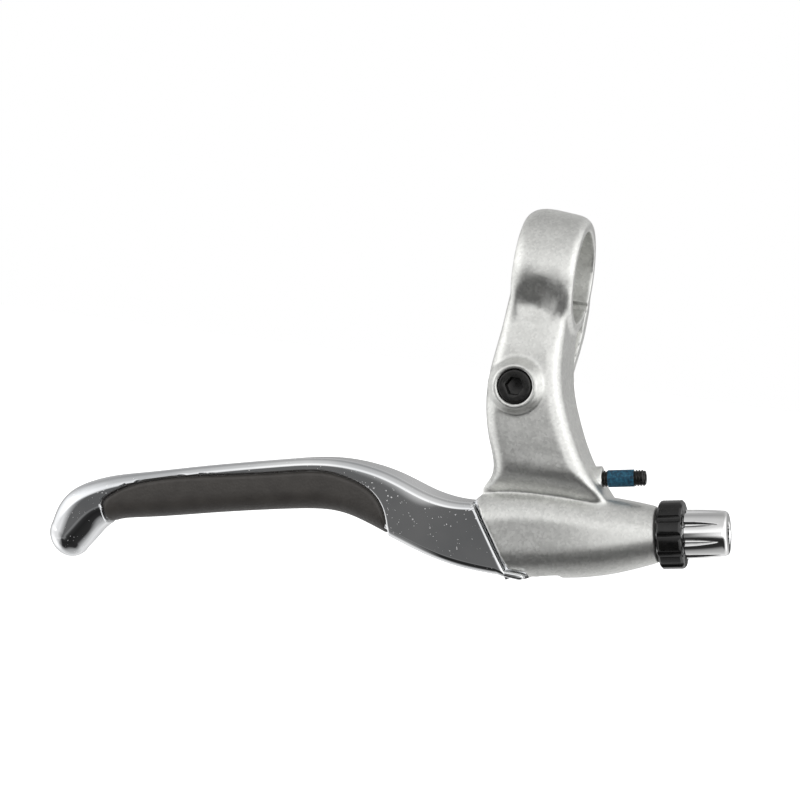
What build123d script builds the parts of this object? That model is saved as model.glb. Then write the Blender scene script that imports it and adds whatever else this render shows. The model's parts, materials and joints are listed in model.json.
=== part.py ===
from build123d import *
from math import cos, radians, sin, tan
import os

# Flat-bar bicycle brake lever, left-hand pattern of a mirrored pair.
# Frame: the origin is the centre of the handlebar clamp bore. +X runs along the bore, inboard,
# towards the cable adjuster. +Z runs from the lever blade up to the clamp. The blade swings in
# the plane y = LEVER_Y, and the face with the clamp bolt looks along -Y.

os.makedirs("parts", exist_ok=True)

# ---- driving dimensions (mm) ----
BAR_RADIUS = 11.1            # 22.2 mm flat bar
RING_WALL = 4.3
RING_WIDTH = 15.0
LEVER_Y = -2.5               # middle plane of the lever, the pocket and the cable

BOLT_X, BOLT_Z = -2.4, -27.8     # M5 clamp bolt, along Y
BOLT_RADIUS = 2.5
BOLT_HEAD_RADIUS = 4.0
BOLT_HEAD_HEIGHT = 5.0
BOLT_HEX = 4.0
BOLT_HEX_DEPTH = 2.7
SLIT_FRONT, SLIT_REAR = 8.2, 10.2    # y of the two faces of the clamp slit
LUG_RADIUS = 7.4
BOSS_START_Y, BOSS_RIM_Y = -13.4, -16.9
BOSS_BASE_RADIUS, BOSS_RIM_RADIUS = 7.4, 5.2
BOLT_TIP_Y = 15.2

PIVOT_X, PIVOT_Z = 1.0, -39.0    # lever pivot, along Y
PIVOT_RADIUS = 3.0
PIVOT_THREAD_RADIUS = 2.5
PIVOT_THREAD_DEPTH = 4.3     # into the front cheek
PIVOT_HEAD_RADIUS = 5.0
PIVOT_HEAD_SINK = 1.2        # depth of the head's seat in the rear cheek
HUB_RADIUS = 6.4
ANCHOR_RADIUS = 6.0          # of the root round the cable's barrel end
ROOT_THICKNESS = 9.0
POCKET_WIDTH = 9.8
CHEEK_REAR = 7.5

SPRING_BAY = 3.6             # depth of the spring bay beside the hub
SPRING_WIRE = 0.5
SPRING_RADIUS = 5.45
SPRING_TURNS = 2.25
SPRING_PITCH = 1.15
SPRING_TANG = 2.4
TANG_CLEARANCE = 0.12

CABLE_TILT = 10.0            # the cable axis rises this much towards the adjuster
END_X, END_Z = 34.4, -58.4   # centre of the housing's adjuster end
NIPPLE_RADIUS = 3.6
THREAD_RADIUS = 4.8          # M10 adjuster thread
THREAD_FIT = 0.06
THREAD_DEPTH = 14.0
CABLE_PASSAGE = 1.6
CABLE_SLOT = 1.8

LOCK_RING_GAP = 0.6
LOCK_RING_WIDTH = 5.7
LOCK_RING_RADIUS = 8.2
LOCK_RING_LOBES = 12
BARREL_RADIUS = 5.85
BARREL_LENGTH = 10.5
BARREL_FLUTES = 8
HOUSING_SEAT_RADIUS = 2.55   # 5 mm cable housing
HOUSING_SEAT_DEPTH = 9.0

REACH_RADIUS = 1.95          # M4 reach screw
REACH_START = 6.5            # its inner tip, along the cable's direction from under the pivot
REACH_LENGTH = 20.4
REACH_DROP = 11.2            # its axis passes this far below the pivot
REACH_BOSS = 16.7            # outer face of its boss, measured as its tip is
REACH_BOSS_RADIUS = 3.1
REACH_BOSS_LENGTH = 6.0
REACH_HEX = 2.0
REACH_HEX_DEPTH = 2.5
PATCH_THICKNESS = 0.12
PATCH_LENGTH = 6.3
PATCH_FROM_END = 9.0

SEAM_TOP = (-9.4, -56.4)     # line where the blade meets the housing
SEAM_BOTTOM = (0.7, -71.4)
SEAM_GAP = 0.5
FIT = 0.06                   # face to face clearance of seated pieces
FAR = 60.0                   # further than any piece reaches across, for cuts that run right through


def cable_point(distance, rise=0.0):
    """Point at a distance along the cable axis from the housing end, outward, and a rise above it."""
    run, lift = cos(radians(CABLE_TILT)), sin(radians(CABLE_TILT))
    return (END_X + distance * run - rise * lift, LEVER_Y, END_Z + distance * lift + rise * run)


def along_cable(distance, rise=0.0):
    """Plane square to the cable axis: its own x is +Y, its y is up, and its z is outward."""
    return Plane(origin=cable_point(distance, rise), x_dir=(0, 1, 0),
                 z_dir=(cos(radians(CABLE_TILT)), 0, sin(radians(CABLE_TILT))))


def side_plane(y):
    """Plane seen from the front at depth y: its own x is +X and its y is +Z, extruding towards -Y."""
    return Plane(origin=(0, y, 0), x_dir=(1, 0, 0), z_dir=(0, -1, 0))


# distance along the cable axis, from the housing end, of the foot of the pivot's perpendicular
ANCHOR_AT = (PIVOT_X - END_X) * cos(radians(CABLE_TILT)) + (PIVOT_Z - END_Z) * sin(radians(CABLE_TILT))
ANCHOR_X = cable_point(ANCHOR_AT)[0]
ANCHOR_Z = cable_point(ANCHOR_AT)[2]
CABLE_ARM = ((PIVOT_X - ANCHOR_X) ** 2 + (PIVOT_Z - ANCHOR_Z) ** 2) ** 0.5
REACH_AXIS_RISE = CABLE_ARM - REACH_DROP
REACH_TIP_AT = ANCHOR_AT + REACH_START
SEAM_LENGTH = ((SEAM_BOTTOM[0] - SEAM_TOP[0]) ** 2 + (SEAM_BOTTOM[1] - SEAM_TOP[1]) ** 2) ** 0.5
SEAM_DIR = ((SEAM_BOTTOM[0] - SEAM_TOP[0]) / SEAM_LENGTH, (SEAM_BOTTOM[1] - SEAM_TOP[1]) / SEAM_LENGTH)

# ---- body casting ----

# clamp band, crowned on the outside
RING_EDGE_RADIUS = BAR_RADIUS + 1.9
BAND_INSIDE = 8.0            # inner radius before the bore is cut
with BuildPart() as band:
    with BuildSketch(Plane.XY):
        with BuildLine():
            Line((RING_WIDTH / 2, BAND_INSIDE), (RING_WIDTH / 2, RING_EDGE_RADIUS))
            Spline((RING_WIDTH / 2, RING_EDGE_RADIUS), (RING_WIDTH / 2 - 0.8, RING_EDGE_RADIUS + 0.95),
                   (2.5, BAR_RADIUS + RING_WALL - 0.4), (-2.5, BAR_RADIUS + RING_WALL),
                   (-RING_WIDTH / 2 + 1.5, BAR_RADIUS + RING_WALL - 0.7),
                   (-RING_WIDTH / 2, RING_EDGE_RADIUS + 0.4))
            Line((-RING_WIDTH / 2, RING_EDGE_RADIUS + 0.4), (-RING_WIDTH / 2, BAND_INSIDE))
            Line((-RING_WIDTH / 2, BAND_INSIDE), (RING_WIDTH / 2, BAND_INSIDE))
        make_face()
    revolve(axis=Axis.X)

# arm: (z, left, right, front, rear, corner radius) of its level sections
ARM_SECTIONS = [
    (6, -6.2, 5.6, -11.6, 7.6, 2.8),
    (-1, -7.1, 6.5, -11.8, 8.0, 3.0),
    (-10, -8.2, 6.6, -12.6, SLIT_FRONT, 3.2),
    (-19, -9.2, 6.9, -13.9, SLIT_FRONT, 3.5),
    (-28, -10.1, 8.3, -14.4, SLIT_FRONT, 3.8),
    (-35, -9.5, 10.9, -14.5, 7.9, 3.8),
    (-41, -8.0, 13.8, -14.4, CHEEK_REAR, 3.8),
    (-46.5, -6.3, 17.4, -13.6, 7.2, 3.8),
    (-51, -7.3, 21.2, -10.8, 6.6, 3.2),
    (-56, -10.6, 24.0, -7.6, 4.4, 2.6),
]
with BuildPart() as arm:
    for z, left, right, front, rear, corner in ARM_SECTIONS:
        with BuildSketch(Plane.XY.offset(z)):
            with Locations(((left + right) / 2, (front + rear) / 2)):
                RectangleRounded(right - left, rear - front, corner)
    loft()

# housing round the cable: (distance inwards, depth along Y, height, corner radius, rise)
HOUSING_SECTIONS = [
    (0, 13.5, 13.5, 6.7, 0),
    (8, 17.0, 17.2, 7.8, 0.05),
    (16, 19.2, 19.8, 8.2, 0.3),
    (26, 20.0, 21.6, 8.0, 1.0),
    (36, 20.0, 21.8, 7.8, 1.2),
    (48, 19.2, 19.2, 7.8, 0.3),
]
with BuildPart() as housing:
    for inwards, depth, height, corner, rise in HOUSING_SECTIONS:
        with BuildSketch(along_cable(-inwards, rise)):
            RectangleRounded(depth, height, corner)
    loft()
    fillet(housing.faces().sort_by(Axis.X)[-1].edges(), 0.6)

# everything left of the seam belongs to the blade
SEAM_OVERRUN = FAR / 2
with BuildPart() as left_of_seam:
    with BuildSketch(side_plane(FAR / 2)):
        with BuildLine():
            Polyline(
                (SEAM_TOP[0] - SEAM_OVERRUN * SEAM_DIR[0], SEAM_TOP[1] - SEAM_OVERRUN * SEAM_DIR[1]),
                (SEAM_BOTTOM[0] + SEAM_OVERRUN * SEAM_DIR[0], SEAM_BOTTOM[1] + SEAM_OVERRUN * SEAM_DIR[1]),
                (-FAR, SEAM_BOTTOM[1] + SEAM_OVERRUN * SEAM_DIR[1]),
                (-FAR, SEAM_TOP[1] - SEAM_OVERRUN * SEAM_DIR[1]),
                close=True,
            )
        make_face()
    extrude(amount=FAR)
housing_right = housing.part - left_of_seam.part

# pocket for the lever root, open to the left and below over the whole swing; its upper left edge
# is a tangent of the circle round the hub, and leans as far as the neck does at full pull
POCKET_CLEARANCE = 0.8
POCKET_LEAN = 48.0           # of that edge, below the horizontal
POCKET_EDGE = 30.0
POCKET_FLOOR = -85.0
POCKET_RIGHT = ANCHOR_X + ANCHOR_RADIUS + 1.2
pocket_radius = HUB_RADIUS + POCKET_CLEARANCE
lean_x, lean_z = cos(radians(POCKET_LEAN)), sin(radians(POCKET_LEAN))
pocket_corner = (PIVOT_X - pocket_radius * lean_z, PIVOT_Z + pocket_radius * lean_x)
with BuildPart() as pocket:
    with BuildSketch(side_plane(LEVER_Y + POCKET_WIDTH / 2)):
        with Locations((PIVOT_X, PIVOT_Z)):
            Circle(pocket_radius)
        with BuildLine():
            Polyline(
                pocket_corner,
                (pocket_corner[0] - POCKET_EDGE * lean_x, pocket_corner[1] - POCKET_EDGE * lean_z),
                (pocket_corner[0] - POCKET_EDGE * lean_x, POCKET_FLOOR),
                (POCKET_RIGHT, POCKET_FLOOR),
                (POCKET_RIGHT, ANCHOR_Z),
                (PIVOT_X + pocket_radius, PIVOT_Z),
                (PIVOT_X, PIVOT_Z),
                close=True,
            )
        make_face()
    extrude(amount=POCKET_WIDTH)

# rear half of the clamp: a lug that the bolt pulls against the arm
LUG_REAR = BAR_RADIUS + RING_WALL - 0.5
LUG_HALF_WIDTH = RING_WIDTH / 2 - 0.4
LUG_TOP = -1.0
LUG_INNER_EDGE = ((7.4, -8.0), (7.1, -14.0), (6.5, -18.5))      # x and z down its inboard side
with BuildPart() as lug:
    with BuildSketch(side_plane(LUG_REAR)):
        with BuildLine():
            Polyline((-LUG_HALF_WIDTH, LUG_TOP), (LUG_HALF_WIDTH, LUG_TOP), *LUG_INNER_EDGE,
                     (BOLT_X + LUG_RADIUS, BOLT_Z), (BOLT_X - LUG_RADIUS, BOLT_Z), close=True)
        make_face()
        with Locations((BOLT_X, BOLT_Z)):
            Circle(LUG_RADIUS)
    extrude(amount=LUG_REAR - SLIT_REAR)
    fillet(lug.faces().sort_by(Axis.Y)[-1].edges(), 1.4)

SLIT_TOP, SLIT_BOTTOM = -6.0, -38.0
ADJUSTER_BORE = THREAD_DEPTH + 1.0
with BuildPart() as body:
    add(band.part)
    add(arm.part)
    add(housing_right)
    add(lug.part)
    # raised boss round the bolt head
    with BuildSketch(side_plane(BOSS_START_Y)):
        with Locations((BOLT_X, BOLT_Z)):
            Circle(BOSS_BASE_RADIUS)
    with BuildSketch(side_plane(BOSS_RIM_Y)):
        with Locations((BOLT_X, BOLT_Z)):
            Circle(BOSS_RIM_RADIUS)
    loft()
    # boss of the reach screw
    with BuildSketch(along_cable(ANCHOR_AT + REACH_BOSS - REACH_BOSS_LENGTH, REACH_AXIS_RISE)):
        Circle(REACH_BOSS_RADIUS)
    extrude(amount=REACH_BOSS_LENGTH)
    # bore, slit, pocket
    with BuildSketch(Plane.YZ.offset(-RING_WIDTH)):
        Circle(BAR_RADIUS)
    extrude(amount=2 * RING_WIDTH, mode=Mode.SUBTRACT)
    with BuildSketch(side_plane(SLIT_REAR)):
        with Locations((0, (SLIT_TOP + SLIT_BOTTOM) / 2)):
            Rectangle(FAR, SLIT_TOP - SLIT_BOTTOM)
    extrude(amount=SLIT_REAR - SLIT_FRONT, mode=Mode.SUBTRACT)
    add(pocket.part, mode=Mode.SUBTRACT)
    # clamp bolt: head recess and clearance hole in the arm, thread in the lug
    with BuildSketch(side_plane(SLIT_FRONT)):
        with Locations((BOLT_X, BOLT_Z)):
            Circle(BOLT_RADIUS + 0.25)
    extrude(amount=FAR, mode=Mode.SUBTRACT)
    with BuildSketch(side_plane(BOSS_RIM_Y + BOLT_HEAD_HEIGHT + 0.2)):
        with Locations((BOLT_X, BOLT_Z)):
            Circle(BOLT_HEAD_RADIUS + 0.2)
    extrude(amount=FAR, mode=Mode.SUBTRACT)
    with BuildSketch(side_plane(FAR)):
        with Locations((BOLT_X, BOLT_Z)):
            Circle(BOLT_RADIUS + THREAD_FIT)
    extrude(amount=FAR - SLIT_FRONT, mode=Mode.SUBTRACT)
    # pivot: thread in the front cheek, plain hole and head seat in the rear cheek
    with BuildSketch(side_plane(LEVER_Y)):
        with Locations((PIVOT_X, PIVOT_Z)):
            Circle(PIVOT_THREAD_RADIUS + THREAD_FIT)
    extrude(amount=POCKET_WIDTH / 2 + PIVOT_THREAD_DEPTH, mode=Mode.SUBTRACT)
    with BuildSketch(side_plane(FAR)):
        with Locations((PIVOT_X, PIVOT_Z)):
            Circle(PIVOT_RADIUS + THREAD_FIT)
    extrude(amount=FAR - LEVER_Y, mode=Mode.SUBTRACT)
    with BuildSketch(side_plane(FAR)):
        with Locations((PIVOT_X, PIVOT_Z)):
            Circle(PIVOT_HEAD_RADIUS + 0.2)
    extrude(amount=FAR - (CHEEK_REAR - PIVOT_HEAD_SINK), mode=Mode.SUBTRACT)
    # hole for the spring's fixed tang, a quarter turn past the hub's
    with BuildSketch(side_plane(LEVER_Y + POCKET_WIDTH / 2 + SPRING_TANG + 0.4)):
        with Locations((PIVOT_X + SPRING_RADIUS, PIVOT_Z)):
            Circle(SPRING_WIRE + TANG_CLEARANCE)
    extrude(amount=SPRING_TANG + 1, mode=Mode.SUBTRACT)
    # adjuster thread, cable passage, and the slot that lets the cable be lifted out
    with BuildSketch(along_cable(-ADJUSTER_BORE)):
        Circle(THREAD_RADIUS + THREAD_FIT)
    extrude(amount=ADJUSTER_BORE + 1, mode=Mode.SUBTRACT)
    with BuildSketch(along_cable(ANCHOR_AT)):
        Circle(CABLE_PASSAGE)
    extrude(amount=-ANCHOR_AT, mode=Mode.SUBTRACT)
    with BuildSketch(along_cable(ANCHOR_AT)):
        with Locations((0, -FAR / 2)):
            Rectangle(CABLE_SLOT, FAR)
    extrude(amount=-ANCHOR_AT + 1, mode=Mode.SUBTRACT)
    # reach screw thread
    with BuildSketch(along_cable(ANCHOR_AT, REACH_AXIS_RISE)):
        Circle(REACH_RADIUS + THREAD_FIT)
    extrude(amount=FAR, mode=Mode.SUBTRACT)
body.part.label = "body_casting"
export_step(body.part, "parts/body_casting.step")

# ---- clamp bolt: M5 socket cap screw, its head just below the rim of the boss ----
BOLT_HEAD_Y = BOSS_RIM_Y + 0.1
with BuildPart() as clamp_bolt:
    with BuildSketch(side_plane(BOLT_HEAD_Y + BOLT_HEAD_HEIGHT)):
        with Locations((BOLT_X, BOLT_Z)):
            Circle(BOLT_HEAD_RADIUS)
    extrude(amount=BOLT_HEAD_HEIGHT)
    fillet(clamp_bolt.edges().filter_by(GeomType.CIRCLE).sort_by(Axis.Y)[0], 0.5)
    with BuildSketch(side_plane(BOLT_TIP_Y)):
        with Locations((BOLT_X, BOLT_Z)):
            Circle(BOLT_RADIUS)
    extrude(amount=BOLT_TIP_Y - BOLT_HEAD_Y - BOLT_HEAD_HEIGHT / 2)
    with BuildSketch(side_plane(BOLT_HEAD_Y + BOLT_HEX_DEPTH)):
        with Locations((BOLT_X, BOLT_Z)):
            RegularPolygon(BOLT_HEX / 2, 6, major_radius=False)
    extrude(amount=BOLT_HEAD_HEIGHT, mode=Mode.SUBTRACT)
clamp_bolt.part.label = "clamp_bolt"
export_step(clamp_bolt.part, "parts/clamp_bolt.step")

# ---- lever blade and its rubber insert ----
# sections of the blade: (upper x, upper z, lower x, lower z, depth along Y, corner radius)
BLADE_SECTIONS = [
    (-118.1, -78.2, -108.5, -83.8, 11.0, 5.45),
    (-117.0, -74.6, -106.5, -81.0, 11.6, 5.2),
    (-114.4, -70.6, -104.8, -78.4, 12.2, 4.4),
    (-107.3, -66.1, -101.8, -75.8, 12.8, 3.4),
    (-95.0, -62.4, -92.6, -73.5, 13.4, 3.0),
    (-79.5, -58.5, -77.0, -70.1, 13.8, 2.8),
    (-60.0, -54.0, -57.4, -66.1, 14.0, 2.6),
    (-44.5, -51.7, -45.5, -64.6, 14.2, 2.4),
    (-33.0, -52.9, -38.0, -65.7, 14.8, 2.3),
    (-23.0, -56.0, -26.5, -69.3, 16.2, 2.2),
    (-15.0, -57.3, -12.5, -72.6, 18.2, 2.1),
    (SEAM_TOP[0] - SEAM_GAP, SEAM_TOP[1] - 0.6, SEAM_BOTTOM[0] + 0.2, SEAM_BOTTOM[1] - 1.8, 18.8, 2.0),
]
TIP_CENTRE = (-113.3, LEVER_Y, -81.0)
TIP_RADIUS = 5.5
with BuildPart() as blade_form:
    for upper_x, upper_z, lower_x, lower_z, depth, corner in BLADE_SECTIONS:
        rise = Vector(upper_x - lower_x, 0, upper_z - lower_z)
        middle = ((upper_x + lower_x) / 2, LEVER_Y, (upper_z + lower_z) / 2)
        with BuildSketch(Plane(origin=middle, x_dir=(0, 1, 0), z_dir=Vector(0, 1, 0).cross(rise))):
            RectangleRounded(depth, rise.length, corner)
    loft()
    with Locations(TIP_CENTRE):
        Sphere(TIP_RADIUS)

# the stretch of the blade that rubber covers, seen from the front
with BuildPart() as rubber_zone:
    with BuildSketch(side_plane(FAR / 2)):
        with BuildLine():
            upper = Spline((-103.9, -71.2), (-97.6, -66.0), (-89.2, -63.0), (-73.4, -59.7), (-57.5, -56.6),
                           (-47.1, -55.1), (-41.3, -55.9), (-35.1, -58.4), (-32.2, -61.5), (-30.2, -66.9))
            Polyline(upper @ 1, (-29.2, -76), (-100.2, -85), (-102.2, -75.4), (-103.7, -73.6), upper @ 0)
        make_face()
    extrude(amount=FAR)

# metal core that the rubber is moulded round
CORE_THICKNESS = 5.2
with BuildPart() as rubber_core:
    with BuildSketch(side_plane(LEVER_Y + CORE_THICKNESS / 2)):
        with BuildLine():
            Polyline((-106, -66), (-60, -50), (-40, -50), (-26, -60), (-26, -66.5), (-33.5, -63.6),
                     (-46, -61.8), (-70.4, -66.0), (-96, -71.4), (-106, -72), close=True)
        make_face()
    extrude(amount=CORE_THICKNESS)
rubber_hollow = rubber_zone.part - rubber_core.part

ROOT_REAR = LEVER_Y + ROOT_THICKNESS / 2
SPRING_START_Y = ROOT_REAR - SPRING_BAY + 0.75
BUSHING_RADIUS = 4.0
FLANGE_RADIUS = 5.2
FLANGE_RECESS = 0.5
SPIGOT_RADIUS = 4.75         # of the root's core inside the spring
BAY_RADIUS = SPRING_RADIUS + 1.2
SPIGOT_DROP = 0.4            # of the spigot's end below the root's rear face

# torsion spring round the spigot, with a tang turned along the axis at each end
with BuildPart() as return_spring:
    with BuildLine():
        coil = Helix(SPRING_PITCH, SPRING_PITCH * SPRING_TURNS, SPRING_RADIUS,
                     center=(PIVOT_X, SPRING_START_Y, PIVOT_Z), direction=(0, 1, 0))
    with BuildSketch(Plane(origin=coil @ 0, z_dir=coil % 0)):
        Circle(SPRING_WIRE)
    sweep(is_frenet=True)
    for end, tang in ((coil @ 0, SPRING_TANG), (coil @ 1, -SPRING_TANG)):
        with Locations(end):
            Sphere(SPRING_WIRE)
        with BuildSketch(side_plane(end.Y)):
            with Locations((end.X, end.Z)):
                Circle(SPRING_WIRE)
        extrude(amount=tang)
return_spring.part.label = "return_spring"
export_step(return_spring.part, "parts/return_spring.step")

with BuildPart() as blade:
    add(blade_form.part)
    # root plate: hub, neck, cable anchor and the lower lip that runs under the housing
    anchor_side = ANCHOR_X + ANCHOR_RADIUS
    with BuildSketch(side_plane(ROOT_REAR)):
        with Locations((PIVOT_X, PIVOT_Z)):
            Circle(HUB_RADIUS)
        with Locations((ANCHOR_X, ANCHOR_Z)):
            Circle(ANCHOR_RADIUS)
        with BuildLine():
            Polyline((PIVOT_X - HUB_RADIUS, PIVOT_Z), (-5.0, -47), (-6.0, -52), (-9.6, -56.0), (-11.5, -58.5),
                     (-6, -73.5), (4.3, -73.6), (5.4, -73.1), (6.0, -68), (anchor_side, ANCHOR_Z),
                     (PIVOT_X + HUB_RADIUS, PIVOT_Z), close=True)
        make_face()
    extrude(amount=ROOT_THICKNESS)
    # bores of the bushings and the seats of their flanges
    with BuildSketch(side_plane(FAR / 2)):
        with Locations((PIVOT_X, PIVOT_Z)):
            Circle(BUSHING_RADIUS + FIT)
    extrude(amount=FAR, mode=Mode.SUBTRACT)
    with BuildSketch(side_plane(ROOT_REAR - ROOT_THICKNESS + FLANGE_RECESS)):
        with Locations((PIVOT_X, PIVOT_Z)):
            Circle(FLANGE_RADIUS + 0.2)
    extrude(amount=FLANGE_RECESS + 1, mode=Mode.SUBTRACT)
    # bay of the return spring, round a spigot, and the hole for the spring's tang
    with BuildSketch(side_plane(ROOT_REAR + 1)):
        with Locations((PIVOT_X, PIVOT_Z)):
            Circle(BAY_RADIUS)
            Circle(SPIGOT_RADIUS, mode=Mode.SUBTRACT)
    extrude(amount=1 + SPRING_BAY, mode=Mode.SUBTRACT)
    with BuildSketch(side_plane(ROOT_REAR + 1)):
        with Locations((PIVOT_X, PIVOT_Z)):
            Circle(BAY_RADIUS)
    extrude(amount=1 + SPIGOT_DROP, mode=Mode.SUBTRACT)
    with BuildSketch(side_plane(ROOT_REAR)):
        with Locations(((coil @ 0).X, (coil @ 0).Z)):
            Circle(SPRING_WIRE + TANG_CLEARANCE)
    extrude(amount=SPRING_BAY + SPRING_TANG, mode=Mode.SUBTRACT)
    # seat of the cable's barrel end, and the slit that the cable drops through
    with BuildSketch(side_plane(ROOT_REAR)):
        with Locations((ANCHOR_X, ANCHOR_Z)):
            Circle(NIPPLE_RADIUS)
    extrude(amount=ROOT_THICKNESS, mode=Mode.SUBTRACT)
    slit_top = ANCHOR_Z + CABLE_PASSAGE
    slit_rise = 2 * ANCHOR_RADIUS * tan(radians(CABLE_TILT))
    with BuildSketch(side_plane(LEVER_Y + CABLE_SLOT / 2)):
        with BuildLine():
            Polyline((ANCHOR_X, slit_top), (ANCHOR_X + 2 * ANCHOR_RADIUS, slit_top + slit_rise),
                     (ANCHOR_X + 2 * ANCHOR_RADIUS, POCKET_FLOOR), (ANCHOR_X, POCKET_FLOOR), close=True)
        make_face()
    extrude(amount=CABLE_SLOT, mode=Mode.SUBTRACT)
    add(rubber_hollow, mode=Mode.SUBTRACT)
blade.part.label = "lever_blade"
export_step(blade.part, "parts/lever_blade.step")

with BuildPart() as grip_insert:
    add(blade_form.part)
    add(rubber_hollow, mode=Mode.INTERSECT)
grip_insert.part.label = "grip_insert"
export_step(grip_insert.part, "parts/grip_insert.step")

# ---- pivot: shoulder bolt from the rear, two flanged bushings, return spring ----
FRONT_CHEEK = LEVER_Y - POCKET_WIDTH / 2
REAR_CHEEK = LEVER_Y + POCKET_WIDTH / 2
HEAD_TOP_Y = CHEEK_REAR + 1.0
HEAD_SEAT_Y = CHEEK_REAR - PIVOT_HEAD_SINK + 0.1
PIVOT_HEX, PIVOT_HEX_DEPTH = 4.0, 2.5
with BuildPart() as pivot_bolt:
    with BuildSketch(side_plane(HEAD_TOP_Y)):
        with Locations((PIVOT_X, PIVOT_Z)):
            Circle(PIVOT_HEAD_RADIUS)
    extrude(amount=HEAD_TOP_Y - HEAD_SEAT_Y)
    fillet(pivot_bolt.edges().filter_by(GeomType.CIRCLE).sort_by(Axis.Y)[-1], 0.6)
    with BuildSketch(side_plane(HEAD_SEAT_Y)):
        with Locations((PIVOT_X, PIVOT_Z)):
            Circle(PIVOT_RADIUS)
    extrude(amount=HEAD_SEAT_Y - FRONT_CHEEK - 0.05)
    with BuildSketch(side_plane(FRONT_CHEEK + 0.1)):
        with Locations((PIVOT_X, PIVOT_Z)):
            Circle(PIVOT_THREAD_RADIUS)
    extrude(amount=PIVOT_THREAD_DEPTH - 0.3)
    with BuildSketch(side_plane(HEAD_TOP_Y)):
        with Locations((PIVOT_X, PIVOT_Z)):
            RegularPolygon(PIVOT_HEX / 2, 6, major_radius=False)
    extrude(amount=PIVOT_HEX_DEPTH, mode=Mode.SUBTRACT)
pivot_bolt.part.label = "pivot_bolt"
export_step(pivot_bolt.part, "parts/pivot_bolt.step")

BUSHING_JOIN_Y = LEVER_Y - 0.4
BUSHING_BORE = PIVOT_RADIUS + 0.05
REAR_FLANGE_RADIUS = SPIGOT_RADIUS - 0.05
FLANGE_REAR = ROOT_REAR - ROOT_THICKNESS + FLANGE_RECESS - FIT
with BuildPart() as front_bushing:
    with BuildSketch(side_plane(BUSHING_JOIN_Y - 0.1)):
        with Locations((PIVOT_X, PIVOT_Z)):
            Circle(BUSHING_RADIUS)
            Circle(BUSHING_BORE, mode=Mode.SUBTRACT)
    extrude(amount=BUSHING_JOIN_Y - 0.1 - FRONT_CHEEK - FIT)
    with BuildSketch(side_plane(FLANGE_REAR)):
        with Locations((PIVOT_X, PIVOT_Z)):
            Circle(FLANGE_RADIUS)
            Circle(BUSHING_BORE, mode=Mode.SUBTRACT)
    extrude(amount=FLANGE_REAR - FRONT_CHEEK - FIT)
front_bushing.part.label = "front_bushing"
export_step(front_bushing.part, "parts/front_bushing.step")

with BuildPart() as rear_bushing:
    with BuildSketch(side_plane(REAR_CHEEK - FIT)):
        with Locations((PIVOT_X, PIVOT_Z)):
            Circle(BUSHING_RADIUS)
            Circle(BUSHING_BORE, mode=Mode.SUBTRACT)
    extrude(amount=REAR_CHEEK - FIT - BUSHING_JOIN_Y)
    with BuildSketch(side_plane(REAR_CHEEK - FIT)):
        with Locations((PIVOT_X, PIVOT_Z)):
            Circle(REAR_FLANGE_RADIUS)
            Circle(BUSHING_BORE, mode=Mode.SUBTRACT)
    extrude(amount=REAR_CHEEK - ROOT_REAR + SPIGOT_DROP - 2 * FIT)
rear_bushing.part.label = "rear_bushing"
export_step(rear_bushing.part, "parts/rear_bushing.step")

# ---- cable adjuster: hollow fluted barrel and its lock ring, both slotted for the cable ----
HEAD_START = LOCK_RING_GAP + LOCK_RING_WIDTH + 0.3
BARREL_END = LOCK_RING_GAP + LOCK_RING_WIDTH + BARREL_LENGTH
BARREL_TAPER = 0.45
BARREL_TIP_ROUND = 1.1
FLUTE_RADIUS = 0.95
FLUTE_STOP = 2.4             # from the ends of the flutes to the barrel's tip
with BuildPart() as barrel:
    with BuildSketch(along_cable(-THREAD_DEPTH + 0.5)):
        Circle(THREAD_RADIUS)
    extrude(amount=THREAD_DEPTH - 0.5 + HEAD_START + 0.5)
    with BuildSketch(along_cable(HEAD_START)):
        Circle(BARREL_RADIUS)
    with BuildSketch(along_cable(BARREL_END)):
        Circle(BARREL_RADIUS - BARREL_TAPER)
    loft()
    fillet(barrel.edges().filter_by(GeomType.CIRCLE).sort_by(Axis.X)[-1], BARREL_TIP_ROUND)
    # lengthwise flutes that stop short of the tip
    for turn in range(BARREL_FLUTES):
        angle = 360 * (turn + 0.5) / BARREL_FLUTES
        with BuildSketch(along_cable(HEAD_START - 0.1)):
            with Locations(Location((0, 0, 0), angle)):
                with Locations((BARREL_RADIUS + 0.15, 0)):
                    Circle(FLUTE_RADIUS)
        extrude(amount=BARREL_LENGTH - FLUTE_STOP, mode=Mode.SUBTRACT)
    with BuildSketch(along_cable(-THREAD_DEPTH)):
        Circle(CABLE_PASSAGE)
    extrude(amount=THREAD_DEPTH + BARREL_END + 1, mode=Mode.SUBTRACT)
    with BuildSketch(along_cable(BARREL_END - HOUSING_SEAT_DEPTH)):
        Circle(HOUSING_SEAT_RADIUS)
    extrude(amount=HOUSING_SEAT_DEPTH + 1, mode=Mode.SUBTRACT)
    with BuildSketch(along_cable(-THREAD_DEPTH)):
        with Locations((0, -BARREL_RADIUS)):
            Rectangle(CABLE_SLOT, 2 * BARREL_RADIUS)
    extrude(amount=THREAD_DEPTH + BARREL_END + 1, mode=Mode.SUBTRACT)
barrel.part.label = "barrel_adjuster"
export_step(barrel.part, "parts/barrel_adjuster.step")

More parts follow.
